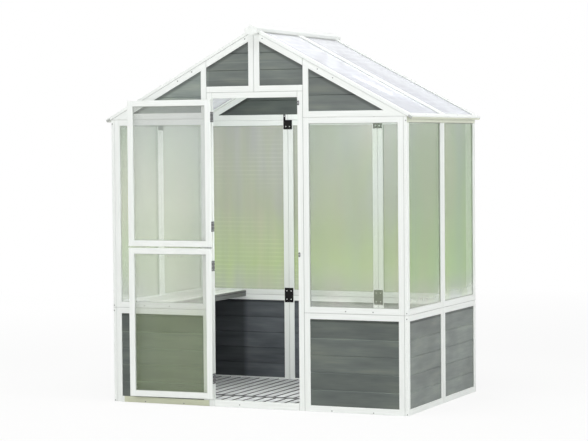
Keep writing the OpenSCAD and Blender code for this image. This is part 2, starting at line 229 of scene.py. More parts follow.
def seamShade(tree, place, seams):
    # painted shade in the joints between panels, where the gaps' shadow falls; seams are (axis, distance
    # from the middle, reach along x)
    parts = addNode(tree, "SeparateXYZ", [place]).outputs
    outward = addNode(tree, "Math", [parts[0]], operation="ABSOLUTE")
    jointShadow = 0.0
    for axis, distance, reach in seams:
        across = addNode(tree, "Math", [parts["XYZ".index(axis)]], operation="ABSOLUTE")
        joint = addNode(tree, "Math", [across, distance, whiteTimber["seamReach"]], operation="COMPARE")
        reached = addNode(tree, "Math", [outward, reach], operation="LESS_THAN")
        here = addNode(tree, "Math", [joint, reached], operation="MULTIPLY")
        jointShadow = addNode(tree, "Math", [jointShadow, here], operation="MAXIMUM")
    return addNode(tree, "MapRange", [jointShadow, 0.0, 1.0, 1.0, whiteTimber["seamTone"]])


def paintShadePatches(tree, place, tone, patches):
    # patches of painted shade are (colour, strength, ranges), and a range is (axis, low, high)
    parts = addNode(tree, "SeparateXYZ", [place]).outputs
    for colour, strength, ranges in patches:
        for axis, low, high in ranges:
            here = insideRange(tree, parts["XYZ".index(axis)], low, high, whiteTimber["patchEdge"])
            strength = addNode(tree, "Math", [strength, here], operation="MULTIPLY")
        tone = addNode(tree, "MixRGB", [strength, tone, srgb(whiteTimber[colour])])
    return tone


def paintedFir(name, run, stiles=(), middle=0.0, up="Z", lean=False, rake=False, seams=(), patches=()):
    # grain runs along the rails (run) and up the stiles, given as (distance from the middle, half width);
    # lean lays the whole pattern in the roof slope, and rake only the grain of the gable's sloping rails
    material, tree, place = startMaterial(name)
    slope = leaning(tree, place) if lean or rake else None
    base = slope if lean else place
    along = stretched(tree, base, longAlong(run, *whiteTimber["ring"]))
    if stiles:
        across = addNode(tree, "SeparateXYZ", [base]).outputs["XYZ".index(run)]
        across = addNode(tree, "Math", [across, middle], operation="SUBTRACT")
        across = addNode(tree, "Math", [across], operation="ABSOLUTE")
        inStile = 0.0
        for centre, reach in stiles:
            here = addNode(tree, "Math", [across, centre, reach], operation="COMPARE")
            inStile = addNode(tree, "Math", [inStile, here], operation="MAXIMUM")
        upward = stretched(tree, base, longAlong(up, *whiteTimber["ring"]))
        along = addNode(tree, "MixRGB", [inStile, along, upward])
    if rake:
        square = addNode(tree, "SeparateXYZ", [slope]).outputs[2]
        inRake = addNode(tree, "Math", [square, rakeTop - railWide], operation="GREATER_THAN")
        down = stretched(tree, slope, longAlong("X", *whiteTimber["ring"]))
        along = addNode(tree, "MixRGB", [inRake, along, down])
    rings = addNode(tree, "TexNoise", {"Vector": along, "Scale": 1.0, "Detail": whiteTimber["ringDetail"],
                                       "Roughness": whiteTimber["ringRough"]})
    tone = addNode(tree, "ValToRGB", [rings], whiteTimber["tones"])
    if seams:
        tone = shadedBy(tree, tone, [seamShade(tree, place, seams)])
    finishMaterial(tree, paintShadePatches(tree, base, tone, patches), whiteTimber, rings)
    return material


half = railWide / 2
storeys = [("Z", lowerTop, beyond), ("Z", wallTop, beyond)]
bayStiles = [(bayEdge, railWide), (frontRun - half, half)]
sidePosts = [(0.0, railWide), (sideRun - half, half)]
leafLow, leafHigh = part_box("lower_door_frame")
leafMiddle, leafHalf = (leafLow.x + leafHigh.x) / 2, (leafHigh.x - leafLow.x) / 2
roofPanel = solidBoxes("right_roof_frames", slopes["right"])[0]
eaveEnd, slopeTop, gableEnd = -roofPanel[0][1], roofPanel[1][2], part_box("right_roof_frames")[0].y
slopeDeep = slopeTop - 0.1  # under every roof frame, measured square to the slope
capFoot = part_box("ridge_cap")[1].x / math.cos(slopeAngle) - slopeTop * math.tan(slopeAngle)
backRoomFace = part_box("back_upper_frames")[0].y
sheetTop = wallTop - railWide
greenShadeEnd = -0.88  # the painted shade stops short of the corner

# painted shade, tinted by a green reflection, on the bottom rail behind the open leaf and on the rail under
# each eave;
# painted shade also on the left posts inside, along the top of the side sheets, by the ridge cap and on the
# ends of the roof
paintedShade = {
    "wall": [("greenShade", 0.7, [("X", greenShadeEnd, -bayEdge), ("Y", -beyond, 0.0), ("Z", -beyond, railWide)]),
             ("greyShade", 0.12, [("X", -beyond, 0.0), ("Y", 0.0, backRoomFace + 0.5 * mm),
                              ("Z", lowerTop, sheetTop)])],
    "side": [("greenShade", 0.5, [("Y", -sideRun + 2 * mm, sideRun - 2 * mm), ("Z", sheetTop, beyond)]),
             ("greyShade", 0.5, [("Y", -sideRun + railWide, sideRun - railWide),
                             ("Z", sheetTop - 1.0 * mm, sheetTop + 1.5 * mm)])],
    "roof": [("greenShade", 0.6, [("X", eaveEnd, beyond), ("Z", slopeDeep, slopeTop - 9 * mm)]),
             ("greyShade", 0.25, [("X", capFoot - 1 * mm, capFoot + 3 * mm)]),
             ("greyShade", 0.5, [("Y", -beyond, gableEnd + 0.5 * mm), ("Z", slopeDeep, slopeTop - 18.5 * mm)]),
             ("greyShade", 0.55, [("X", eaveEnd - 26 * mm, beyond), ("Y", -beyond, gableEnd),
                              ("Z", slopeDeep, slopeTop - 7 * mm)])],
}
wallPaint = paintedFir("painted_fir_walls", "X", bayStiles, patches=paintedShade["wall"],
                       seams=storeys + [("X", bayEdge, beyond), ("X", frontRun, beyond)])
sidePaint = paintedFir("painted_fir_sides", "Y", sidePosts, patches=paintedShade["side"],
                       seams=storeys + [("Y", 0.0, beyond)])
gablePaint = paintedFir("painted_fir_gables", "X", [(0.0, railWide), (bayEdge, railWide)], rake=True,
                        seams=[("Z", wallTop, beyond), ("Z", headTop, bayEdge), ("X", bayEdge, beyond),
                               ("X", 0.0, beyond)])
roofPaint = paintedFir("painted_fir_roof", "Y", sidePosts, up="X", lean=True, patches=paintedShade["roof"],
                       seams=[("Y", 0.0, beyond)])
leafPaint = paintedFir("painted_fir_leaves", "X", [(leafHalf - half, half)], middle=leafMiddle)
uprightPaint = paintedFir("painted_fir_jambs", "Z", seams=[("X", bayEdge, beyond), ("Z", headTop, beyond)])
levelPaint = paintedFir("painted_fir_rails", "X", seams=[("X", headerHalf, beyond), ("Z", headTop, beyond)])
ridgePaint = paintedFir("painted_fir_ridge", "Y")
for wall in ("front", "back"):
    wear(wall + "_lower_frames", wallPaint)
    wear(wall + "_upper_frames", wallPaint)
    wear(wall + "_gable_frames", gablePaint)
for wall in ("left", "right"):
    wear(wall + "_lower_frames", sidePaint)
    wear(wall + "_upper_frames", sidePaint)
    wear(wall + "_roof_frames", roofPaint)
for node, paint in (("door_jambs", uprightPaint), ("door_header", levelPaint), ("threshold", levelPaint),
                    ("upper_door_frame", leafPaint), ("lower_door_frame", leafPaint),
                    ("ridge_cap", ridgePaint), ("ridge_end_blocks", ridgePaint)):
    wear(node, paint)
print("white timber painted")


# grey boards: tongued fir under brushed grey paint, so they are satin and blotchy along the board,
# with a painted highlight on the joints outside, painted light that differs wall by wall, and painted shade,
# a cooler, darker grey, on the room side

greyBoard = {
    "tones": [(0.34, "#525856"), (0.52, "#5c635f"), (0.72, "#6a7068")],
    # painted shade: the room side is a cooler, darker copy of the grey
    "roomTones": [(0.34, "#45494d"), (0.52, "#52565a"), (0.72, "#5f6366")],
    "roughness": 0.36,
    "shine": 0.3,
    "streak": (4 * mm, 180 * mm),  # brush marks over raised grain, across and along the board
    "blotch": (45 * mm, 260 * mm),
    "blotchShare": 0.7,  # of the tone, and the streaks give the rest
    "relief": 0.4 * mm,
    "reliefStrength": 0.5,
    "pitch": 100 * mm,
    "boardSpread": 0.1,  # how far a board's own tone is from the middle one
    "arris": 3.2 * mm,
    "upperArris": 0.4,  # its painted highlight beside the lower one's
    # the joints on the room side get painted shade instead
    "roomArrisTone": 0.72,
    "weakHighlight": 0.35,
    "strongHighlight": 1.3,
    "jointRun": (667 * mm, 667 * mm, 200 * mm),
    "broadPatchSize": (333 * mm, 333 * mm, 208 * mm),
    "edgeReach": {"rail": 20 * mm, "rake": 24 * mm},
    "edgeTone": 0.55,
    "patchEdge": 40 * mm,
}
# painted light: lift sets how bright the outside of each wall is painted, the side walls most, and
# roomPaintedLight the room side
boardWalls = {
    "front": {"paintedLight": 0.99, "roomPaintedLight": 1.2, "arrisTone": 1.9},
    "side": {"paintedLight": 1.37, "roomPaintedLight": 1.1, "arrisTone": 1.4, "uneven": 0.16},
    "gable": {"paintedLight": 1.14, "roomPaintedLight": 0.8, "arrisTone": 1.3, "under": "rake", "roomTones": "tones"},
}


def paintedBoards(name, run, foot, middle, patch, paintedLight, roomPaintedLight, arrisTone, under="rail",
                  roomTones="roomTones", uneven=0.06):
    # foot is where the first joint is measured from, middle the plane halfway through the boards;
    # a patch is (tone, roomTone, axis, low, high), a stretch of boards painted darker or paler;
    # lift is the painted light on the outside, roomPaintedLight the painted light on the room side, and
    # uneven how far the broad patches vary;
    # arrisTone is how strong the painted highlight on the joints is, and under names what the boards meet at
    # the top
    material, tree, place = startMaterial(name)
    parts = addNode(tree, "SeparateXYZ", [place]).outputs
    streaks = marks(tree, place, longAlong(run, *greyBoard["streak"]), detail=6.0, rough=0.65)
    blotches = marks(tree, place, longAlong(run, *greyBoard["blotch"]), detail=2.0)
    fine = addNode(tree, "Math", [streaks, 1 - greyBoard["blotchShare"]], operation="MULTIPLY")
    broad = addNode(tree, "Math", [blotches, greyBoard["blotchShare"]], operation="MULTIPLY")
    mixed = addNode(tree, "Math", [broad, fine], operation="ADD")
    outside = addNode(tree, "ValToRGB", [mixed], greyBoard["tones"])
    inside = addNode(tree, "ValToRGB", [mixed], greyBoard[roomTones])
    # the room side takes the painted shade
    depth = addNode(tree, "Math", [parts[1 - "XY".index(run)]], operation="ABSOLUTE")
    indoors = addNode(tree, "Math", [depth, middle], operation="LESS_THAN")
    tone = addNode(tree, "MixRGB", [indoors, outside, inside])

    height = addNode(tree, "Math", [parts[2], foot], operation="SUBTRACT")
    count = addNode(tree, "Math", [height, greyBoard["pitch"]], operation="DIVIDE")
    row = addNode(tree, "Math", [count], operation="FLOOR")
    chance = addNode(tree, "TexWhiteNoise", {"W": row}, noise_dimensions="1D").outputs["Value"]
    ownTone = addNode(tree, "MapRange", [chance, 0.0, 1.0, 1 - greyBoard["boardSpread"],
                                         1 + greyBoard["boardSpread"]])
    # the painted light level, outside or on the room side
    paintedLightLevel = addNode(tree, "MapRange", [indoors, 0.0, 1.0, paintedLight, roomPaintedLight])
    # broad patches of paler and darker grey, part blotchy paint and part painted reflection, the most on the
    # side walls
    broadPatches = marks(tree, place, greyBoard["broadPatchSize"], detail=2.0)
    broadPatches = addNode(tree, "MapRange", [broadPatches, 0.35, 0.65, 1 - uneven, 1 + uneven])

    # painted highlight: the upward arris of every joint is painted pale where it catches the light, and the
    # one above it a little;
    # the painted highlight is stronger on some joints than on others
    within = addNode(tree, "Math", [count], operation="FRACT")
    arrisShare = greyBoard["arris"] / greyBoard["pitch"]
    lower = addNode(tree, "Math", [within, 1 - arrisShare], operation="GREATER_THAN")
    upper = addNode(tree, "Math", [within, arrisShare], operation="LESS_THAN")
    upper = addNode(tree, "Math", [upper, greyBoard["upperArris"]], operation="MULTIPLY")
    arris = addNode(tree, "Math", [lower, upper], operation="MAXIMUM")
    highlightShare = marks(tree, place, greyBoard["jointRun"], detail=0.0)
    highlightShare = addNode(tree, "MapRange", [highlightShare, 0.35, 0.6, greyBoard["weakHighlight"],
                                        greyBoard["strongHighlight"]])
    arris = addNode(tree, "Math", [arris, highlightShare], operation="MULTIPLY")
    arrisHighlight = addNode(tree, "MapRange", [indoors, 0.0, 1.0, arrisTone, greyBoard["roomArrisTone"]])
    arrisHighlight = addNode(tree, "MapRange", [arris, 0.0, 1.0, 1.0, arrisHighlight])

    # painted shadow: the boards are darker close under the rail, or along the sloping edge under the rake
    level, edge = parts[2], lowerTop - railWide
    if under == "rake":
        level, edge = addNode(tree, "SeparateXYZ", [leaning(tree, place)]).outputs[2], rakeTop - railWide
    reach = greyBoard["edgeReach"][under]
    shaded = addNode(tree, "MapRange", [level, edge - reach, edge - reach / 2, 1.0, greyBoard["edgeTone"]])

    patchTone, patchRoomTone, axis, low, high = patch
    here = insideRange(tree, parts["XYZ".index(axis)], low, high, greyBoard["patchEdge"])
    patched = addNode(tree, "MapRange", [indoors, 0.0, 1.0, patchTone, patchRoomTone])
    patched = addNode(tree, "MapRange", [here, 0.0, 1.0, 1.0, patched])

    tone = shadedBy(tree, tone, [ownTone, paintedLightLevel, broadPatches, arrisHighlight, shaded, patched])
    finishMaterial(tree, tone, greyBoard, streaks, {"Specular IOR Level": greyBoard["shine"]})
    return material


boardFoot = railWide - groove  # the first joint is measured from the bottom of the groove
frontBoards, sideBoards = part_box("front_boards"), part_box("right_boards")
frontMiddle = -(frontBoards[0].y + frontBoards[1].y) / 2
sideMiddle = (sideBoards[0].x + sideBoards[1].x) / 2
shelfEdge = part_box("shelf_slats")[1].x
boardPatches = {
    "front": (1.0, 0.45, "X", -beyond, shelfEdge),  # painted shadow under the shelf, on the room side
    "side": (1.2, 1.0, "Y", 30 * mm, beyond),  # the rear panel is paler than the front one
    "gable": (1.95, 1.0, "X", -beyond, -bayEdge - 20 * mm),  # the left end of the gable is paler, a painted reflection
}
frontBoardPaint = paintedBoards("grey_boards_front", "X", boardFoot, frontMiddle, boardPatches["front"],
                                **boardWalls["front"])
sideBoardPaint = paintedBoards("grey_boards_side", "Y", boardFoot, sideMiddle, boardPatches["side"],
                               **boardWalls["side"])
gableBoardPaint = paintedBoards("grey_boards_gable", "X", wallTop + boardFoot, frontMiddle,
                                boardPatches["gable"], **boardWalls["gable"])
for wall, paint in (("front", frontBoardPaint), ("back", frontBoardPaint), ("left", sideBoardPaint),
                    ("right", sideBoardPaint), ("front_gable", gableBoardPaint),
                    ("back_gable", gableBoardPaint)):
    wear(wall + "_boards", paint)
print("grey boards painted")


# polycarbonate: extruded twin-wall sheet, so it is glossy but never clear, with level webs whose catch of
# the light is a painted highlight;
# each wall's sheets carry painted light and reflection: the soft greens and greys of a garden behind them,
# changing with height and lighter or darker wall by wall

sheetFinish = {
    "roughness": 0.22,
    "ior": 1.585,
    "webPitch": 28 * mm,  # real webs are about 6 mm apart, too fine to show, so these are coarser
    "relief": 0.15 * mm,
    "reliefStrength": 0.15,
    "webTone": 0.11,
    "webShowSize": (400 * mm, 400 * mm, 167 * mm),  # the webs show in places only
    "wander": 30 * mm,  # how far the steps in colour wander up and down
    "wanderSize": (143 * mm, 143 * mm, 1111 * mm),
    "cloudSize": (200 * mm, 200 * mm, 833 * mm),
    "cloudTones": [(0.36, "#9fb0ae"), (0.5, "#a3bf86"), (0.64, "#bcbc9e")],
    "hazeSize": (62.5 * mm, 62.5 * mm, 1000 * mm),
    "haze": 0.06,
    "farEdge": 50 * mm,  # over which the front half's tone turns into the back half's
}
# cover is how much one face of a sheet hides, and a sheet has two; steps are (height in metres, colour) of
# the painted garden, light and shade;
# clouds is how much the painted blurred patches of garden show, and farTone how much paler the back half is
sheets = {
    "clear": {"cover": 0.285, "clouds": 0.38, "steps": [
        (0.6, "#fbfcfa"), (0.628, "#f2f4f0"), (0.655, "#a3a7a1"), (0.8, "#acbb99"), (1.2, "#afbaa0"),
        (1.7, "#788a86")]},
    "leaf": {"cover": 0.16, "clouds": 0.1, "steps": [
        (0.05, "#b2c296"), (0.53, "#afbf92"), (0.59, "#d0d5c9"), (1.1, "#d1d6d2"), (1.66, "#d0d4d6"),
        (1.76, "#c8cac7")]},
    "back": {"cover": 0.6, "clouds": 0.22, "steps": [
        (0.6, "#b0b99c"), (0.78, "#a6bc6f"), (1.15, "#9fa388"), (1.7, "#a8a8a4")]},
    "right": {"cover": 0.45, "clouds": 0.32, "farTone": 1.15, "steps": [
        (0.6, "#e9ece6"), (0.64, "#dadfd5"), (0.7, "#a2b395"), (0.79, "#96bb78"), (1.15, "#90b082"),
        (1.7, "#889b84")]},
    "left": {"cover": 0.45, "clouds": 0.12, "steps": [
        (0.6, "#cdd4c4"), (0.9, "#c6d0b8"), (1.7, "#c6cec6")]},
    "roof": {"cover": 0.62, "clouds": 0.0, "steps": [(1.7, "#e8ebf4"), (2.3, "#ecedf3")]},
}


def polycarbonate(name, cover, steps, clouds, farTone=1.0):
    material, tree, place = startMaterial(name)
    parts = addNode(tree, "SeparateXYZ", [place]).outputs
    low, high = steps[0][0], steps[-1][0]
    wander = marks(tree, place, sheetFinish["wanderSize"])
    wander = addNode(tree, "MapRange", [wander, 0.3, 0.7, -sheetFinish["wander"], sheetFinish["wander"]])
    level = addNode(tree, "Math", [parts[2], wander], operation="ADD")
    rise = addNode(tree, "MapRange", [level, low, high, 0.0, 1.0])
    tone = addNode(tree, "ValToRGB", [rise], [((z - low) / (high - low), colour) for z, colour in steps])
    cloudy = marks(tree, place, sheetFinish["cloudSize"], detail=2.0)
    cloudTone = addNode(tree, "ValToRGB", [cloudy], sheetFinish["cloudTones"])
    tone = addNode(tree, "MixRGB", [clouds, tone, cloudTone])

    turns = addNode(tree, "Math", [parts[2], 2 * math.pi / sheetFinish["webPitch"]], operation="MULTIPLY")
    wave = addNode(tree, "Math", [turns], operation="SINE")
    shows = marks(tree, place, sheetFinish["webShowSize"], detail=1.0)
    shows = addNode(tree, "MapRange", [shows, 0.4, 0.65, 0.0, 1.0])
    web = addNode(tree, "MapRange", [wave, 0.3, 1.0, 0.0, sheetFinish["webTone"]])
    web = addNode(tree, "Math", [web, shows], operation="MULTIPLY")
    web = addNode(tree, "Math", [1.0, web], operation="ADD")
    haze = marks(tree, place, sheetFinish["hazeSize"])
    haze = addNode(tree, "MapRange", [haze, 0.3, 0.7, 1 - sheetFinish["haze"], 1 + sheetFinish["haze"]])
    edge = sheetFinish["farEdge"]
    far = addNode(tree, "MapRange", [parts[1], -edge, edge, 1.0, farTone])
    tone = shadedBy(tree, tone, [web, haze, far])
    finishMaterial(tree, tone, sheetFinish, wave, {"IOR": sheetFinish["ior"], "Alpha": cover})
    return material


sheetMaterials = {name: polycarbonate("polycarbonate_" + name, **kind) for name, kind in sheets.items()}
for node, kind in (("front_sheets", "clear"), ("upper_door_sheet", "leaf"), ("lower_door_sheet", "leaf"),
                   ("back_sheets", "back"), ("right_sheets", "right"), ("left_sheets", "left"),
                   ("left_roof_sheets", "roof"), ("right_roof_sheets", "roof")):
    wear(node, sheetMaterials[kind])
print("sheets glazed")


# floor and shelf: sawn fir under thin grey paint, so it is rough and matt and pale on top,
# with painted shade on its sawn sides

washedFir = {
    "roughness": 0.62,
    "grain": (3 * mm, 160 * mm),  # raised by the saw, across and along the board
    "relief": 0.35 * mm,
    "reliefStrength": 0.6,
    "boardTones": (0.88, 1.06),
    "topToneReach": 0.8 * mm,  # how far the top's tone reaches down the side before the painted shade
    "breakShadowTone": 0.25,  # painted shadow where the two rows of floor boards meet
    "breakShadowReach": 24 * mm,
    "breakShadowEdge": 14 * mm,
    "rearShadeTone": 0.84,  # painted shade: the rear row is darkest just behind the break and fades to the back wall
    "rearShadeDepth": 0.6,
    "rearShadeEnd": 0.2,
    "jointTone": 0.12,
    "jointReach": 2.2 * mm,
    "stagger": 40.5,  # pitches from one row's boards to the other's, so that both tone and place differ
}
firTones = {
    "floor": [(0.3, "#cdced1"), (0.65, "#ecedee")],
    "joists": [(0.3, "#6f6f6f"), (0.65, "#98999a")],
    "slats": [(0.3, "#f2f3f2"), (0.65, "#fbfcfb")],
    "shelf": [(0.3, "#5a5d5b"), (0.65, "#7b7e7b")],
}


def washedBoards(name, run, pitch=1.0, start=0.0, top=None, rowBreak=None, sideShade="#5c5c5b", joint=None):
    # pitch and start say where one board ends and the next begins, and each board has a tone of its own;
    # below the top the sawn sides carry painted shade, and in front of the break they stand half a pitch
    # over
    material, tree, place = startMaterial("washed_fir_" + name)
    parts = addNode(tree, "SeparateXYZ", [place]).outputs
    grain = marks(tree, place, longAlong(run, *washedFir["grain"]), detail=6.0, rough=0.7)
    across = addNode(tree, "Math", [parts[1 - "XY".index(run)], start], operation="SUBTRACT")
    if rowBreak:
        inFront = addNode(tree, "Math", [parts[1], rowBreak], operation="LESS_THAN")
        shift = addNode(tree, "Math", [inFront, washedFir["stagger"] * pitch], operation="MULTIPLY")
        across = addNode(tree, "Math", [across, shift], operation="ADD")
    count = addNode(tree, "Math", [across, pitch], operation="DIVIDE")
    number = addNode(tree, "Math", [count], operation="FLOOR")
    chance = addNode(tree, "TexWhiteNoise", {"W": number}, noise_dimensions="1D").outputs["Value"]
    tone = addNode(tree, "ValToRGB", [grain], firTones[name])
    factors = [addNode(tree, "MapRange", [chance, 0.0, 1.0, *washedFir["boardTones"]])]
    if rowBreak:
        reach = washedFir["breakShadowReach"]
        breakShadow = insideRange(tree, parts[1], rowBreak - reach, rowBreak + reach, washedFir["breakShadowEdge"])
        factors.append(addNode(tree, "MapRange", [breakShadow, 0.0, 1.0, 1.0, washedFir["breakShadowTone"]]))
        rearShade = addNode(tree, "MapRange", [parts[1], rowBreak, washedFir["rearShadeDepth"], 1.0,
                                            washedFir["rearShadeEnd"]])
        behind = addNode(tree, "Math", [parts[1], rowBreak], operation="GREATER_THAN")
        rearShade = addNode(tree, "Math", [rearShade, behind], operation="MULTIPLY")
        factors.append(addNode(tree, "MapRange", [rearShade, 0.0, 1.0, 1.0, washedFir["rearShadeTone"]]))
    tone = shadedBy(tree, tone, factors)
    if top:
        below = addNode(tree, "Math", [parts[2], top - washedFir["topToneReach"]], operation="LESS_THAN")
        tone = addNode(tree, "MixRGB", [below, tone, srgb(sideShade)])
    if joint:
        # painted shadow: the line where the slats lie on the frame is dark
        touching = addNode(tree, "Math", [parts[2], joint, washedFir["jointReach"]], operation="COMPARE")
        shade = addNode(tree, "MapRange", [touching, 0.0, 1.0, 1.0, washedFir["jointTone"]])
        tone = shadedBy(tree, tone, [shade])
    finishMaterial(tree, tone, washedFir, grain)
    return material


deck = solidBoxes("floor_boards")
slats = solidBoxes("shelf_slats")
deckBreak = max(high[1] for low, high in deck if high[1] < 0)
wear("floor_boards", washedBoards("floor", "Y", deck[2][0][0] - deck[0][0][0], deck[0][0][0], deck[0][1][2],
                                  deckBreak + 1 * mm))
wear("floor_joists", washedBoards("joists", "X"))
wear("shelf_slats", washedBoards("slats", "Y", slats[1][0][0] - slats[0][0][0], slats[0][0][0],
                                 slats[0][1][2], sideShade="#9a9d9a"))
wear("shelf_frame", washedBoards("shelf", "Y", joint=slats[0][0][2]))
print("floor and shelf washed")


# steel: black powder coat is pebbled and hardly shines, zinc plate is mottled with a dull metal sheen;
# the grit and mottle are drawn a few times coarser than real ones, so that they show

steelFinish = {
    "powder_coated_steel": {"tones": [(0.3, "#0c0c0c"), (0.7, "#181818")], "metallic": 0.0,
                            "roughness": 0.5, "shine": 0.15, "grit": 1.5 * mm, "relief": 0.1 * mm},
    "zinc_plated_steel": {"tones": [(0.3, "#5e5f60"), (0.7, "#7a7b7c")], "metallic": 0.6,
                          "roughness": 0.5, "shine": 0.5, "grit": 3 * mm, "relief": 0.05 * mm},
    "bright_zinc_steel": {"tones": [(0.3, "#dadbdb"), (0.7, "#f0f0f0")], "metallic": 0.3,
                          "roughness": 0.4, "shine": 0.5, "grit": 2 * mm, "relief": 0.05 * mm},
    "dull_zinc_steel": {"tones": [(0.3, "#6d7070"), (0.7, "#8b8e8d")], "metallic": 0.6,
                        "roughness": 0.5, "shine": 0.5, "grit": 2 * mm, "relief": 0.05 * mm},
}


def coatedSteel(name):
    finish = {"reliefStrength": 0.3, **steelFinish[name]}
    material, tree, place = startMaterial(name)
    speckle = marks(tree, place, [finish["grit"]] * 3)
    tone = addNode(tree, "ValToRGB", [speckle], finish["tones"])
    finishMaterial(tree, tone, finish, speckle, {"Metallic": finish["metallic"],
                                                 "Specular IOR Level": finish["shine"]})
    return material


blackSteel, zincSteel, paleZinc, dullSteel = (coatedSteel(name) for name in steelFinish)
for node in ("upper_brackets", "middle_brackets"):
    wear(node, blackSteel)
for node in ("jamb_hinges", "upper_door_hinges", "lower_door_hinges", "door_catches"):
    wear(node, zincSteel)


# glazing seal: an extruded bead of grey rubber, matt and even, between a sheet and its frame; its grey also
# stands in for the groove's shadow line, as painted shade

seal = {
    "wide": 2.6 * mm,
    "thick": 1.4 * mm,
    "round": 0.5 * mm,
    "fit": 0.3 * mm,  # by which a sheet is shorter than its groove
    "tones": [(0.3, "#969a93"), (0.7, "#a8aca5")],
    "bloom": 10 / 3 * mm,  # size of the faint bloom on the rubber
    "roughness": 0.7,
}


def sealRubber(name):
    material, tree, place = startMaterial(name)
    bloom = marks(tree, place, [seal["bloom"]] * 3)
    finishMaterial(tree, addNode(tree, "ValToRGB", [bloom], seal["tones"]), seal)
    return material


rubber = sealRubber("glazing_seal_painted_shadow")
print("finishes set:", len(bpy.data.materials), "materials")


# modelling helpers

def pick(piece, kind, test):
    # selects the faces (FACE) or corners (VERT) that pass the test, then stays in edit mode
    bpy.ops.object.mode_set(mode="OBJECT")
    mesh = piece.data
    for group in (mesh.vertices, mesh.edges, mesh.polygons):
        for element in group:
            element.select = False
    for element in mesh.polygons if kind == "FACE" else mesh.vertices:
        element.select = test(element)
    bpy.ops.object.mode_set(mode="EDIT")
    bpy.ops.mesh.select_mode(type=kind)


def freshPiece(name):
    piece = bpy.context.object
    piece.name = name
    bpy.ops.object.transform_apply(location=True, rotation=True, scale=True)
    return piece


def donePiece(piece, smoothAngle=30):
    bpy.ops.object.mode_set(mode="OBJECT")
    bpy.ops.object.shade_smooth_by_angle(angle=math.radians(smoothAngle))
    return piece


def joinPieces(pieces):
    bpy.ops.object.select_all(action="DESELECT")
    for piece in pieces:
        piece.select_set(True)
    bpy.context.view_layer.objects.active = pieces[0]
    if len(pieces) > 1:
        bpy.ops.object.join()
    return pieces[0]


def bind(piece, body, material):
    piece.data.materials.clear()
    piece.data.materials.append(material)
    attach(piece, body)


def setOut(name, part, spots, body, material):
    # one copy of the part at every spot, each with its own mesh, joined into one piece
    copies = []
    for place in spots:
        copy = part.copy()
        copy.data = part.data.copy()
        copy.data.transform(place)
        bpy.context.scene.collection.objects.link(copy)
        copies.append(copy)
    piece = joinPieces(copies)
    piece.name = name
    bind(piece, body, material)
    print(name, len(spots), "copies,", len(piece.data.polygons), "faces")


dice = random.Random(11)


def spot(view, across, up, out):
    # a place on a wall, with the part turned about its own axis by chance
    return view @ Matrix.Translation((across, up, out)) @ Matrix.Rotation(dice.uniform(0, math.tau), 4, "Z")


# screws: countersunk heads with a cross recess, set a hair proud of the timber

screw = {
    "sides": 12,  # three to each quarter of the cross
    "across": 7.5 * mm,
    "taper": 0.9,
    "sunk": 0.8 * mm,
    "proud": 0.5 * mm,
    "rim": 1.0 * mm,
    "dish": 0.15 * mm,
    "recess": 0.4 * mm,
    "recessTaper": 0.8,
    "drawIn": 0.42,
}


def makeScrew():
    bpy.ops.object.select_all(action="DESELECT")
    radius, depth = screw["across"] / 2, screw["sunk"] + screw["proud"]
    topRadius = radius * screw["taper"]
    bpy.ops.mesh.primitive_cone_add(vertices=screw["sides"], radius1=radius, radius2=topRadius, depth=depth,
                                    location=(0, 0, screw["proud"] - depth / 2),
                                    rotation=(0, 0, math.pi / screw["sides"]))
    head = freshPiece("screw_head")
    pick(head, "FACE", lambda face: face.normal.z > 0.9)
    bpy.ops.mesh.inset(thickness=screw["rim"], depth=screw["dish"])
    top = screw["proud"] + 0.1 * mm  # between the rim and the raised middle
    inner = (topRadius - screw["rim"]) * 1.05  # just outside the middle's corners

    def betweenArms(corner):
        # every third corner is drawn in, which leaves the outline of a cross
        angle = math.degrees(math.atan2(corner.co.y, corner.co.x)) % 90
        return corner.co.z > top and corner.co.xy.length < inner and abs(angle - 45) < 5

    pick(head, "VERT", betweenArms)
    bpy.ops.transform.resize(value=(screw["drawIn"], screw["drawIn"], 1), center_override=(0, 0, top))
    pick(head, "FACE", lambda face: face.normal.z > 0.9 and face.center.z > top
         and face.center.xy.length < 0.2 * mm)
    bpy.ops.mesh.extrude_region_move(TRANSFORM_OT_translate={"value": (0, 0, -screw["recess"])})
    taper = screw["recessTaper"]
    bpy.ops.transform.resize(value=(taper, taper, 1), center_override=(0, 0, 0))
    return donePiece(head)


# nails: small domed heads along the boards

nail = {
    "sides": 8,
    "across": 4.5 * mm,
    "taper": 0.75,
    "sunk": 0.4 * mm,
    "proud": 0.5 * mm,
    "rim": 0.35,  # of the radius
    "dome": 0.15 * mm,
}


def makeNail():
    bpy.ops.object.select_all(action="DESELECT")
    radius, depth = nail["across"] / 2, nail["proud"] + nail["sunk"]
    bpy.ops.mesh.primitive_cone_add(vertices=nail["sides"], radius1=radius, radius2=radius * nail["taper"],
                                    depth=depth, location=(0, 0, nail["proud"] - depth / 2))
    head = freshPiece("nail_head")
    pick(head, "FACE", lambda face: face.normal.z > 0.9)
    bpy.ops.mesh.inset(thickness=radius * nail["rim"], depth=nail["dome"])
    return donePiece(head, smoothAngle=60)


screwHead = makeScrew()
nailHead = makeNail()

# screws in the wall and gable frames, as distances from the middle of a wall and heights
frameScrew = {
    "foot": 8 * mm,
    "footAcross": (0.479, 0.738),
    "sill": 14 * mm,  # above the joint between the lower and upper frames
    "sillAcross": (0.569, 0.738),
    "backSillAcross": 0.12,
    "cornerIn": 4 * mm,
    "cornerBelowSill": 20 * mm,
    "cornerAboveSill": 12 * mm,
    "cornerBelowTop": 24 * mm,
    "gable": [(0.056, 2.166), (0.404, 1.981), (0.499, 1.929)],
    "threshold": (-0.11, 16 * mm),
    "eaveAlong": (-0.588, -0.344, 0.21, 0.588),
}


def bothSides(view, spots, out):
    # spots are (across, up) on one half of a wall, mirrored to the other half
    return [spot(view, side * across, up, out) for side in (-1, 1) for across, up in spots]


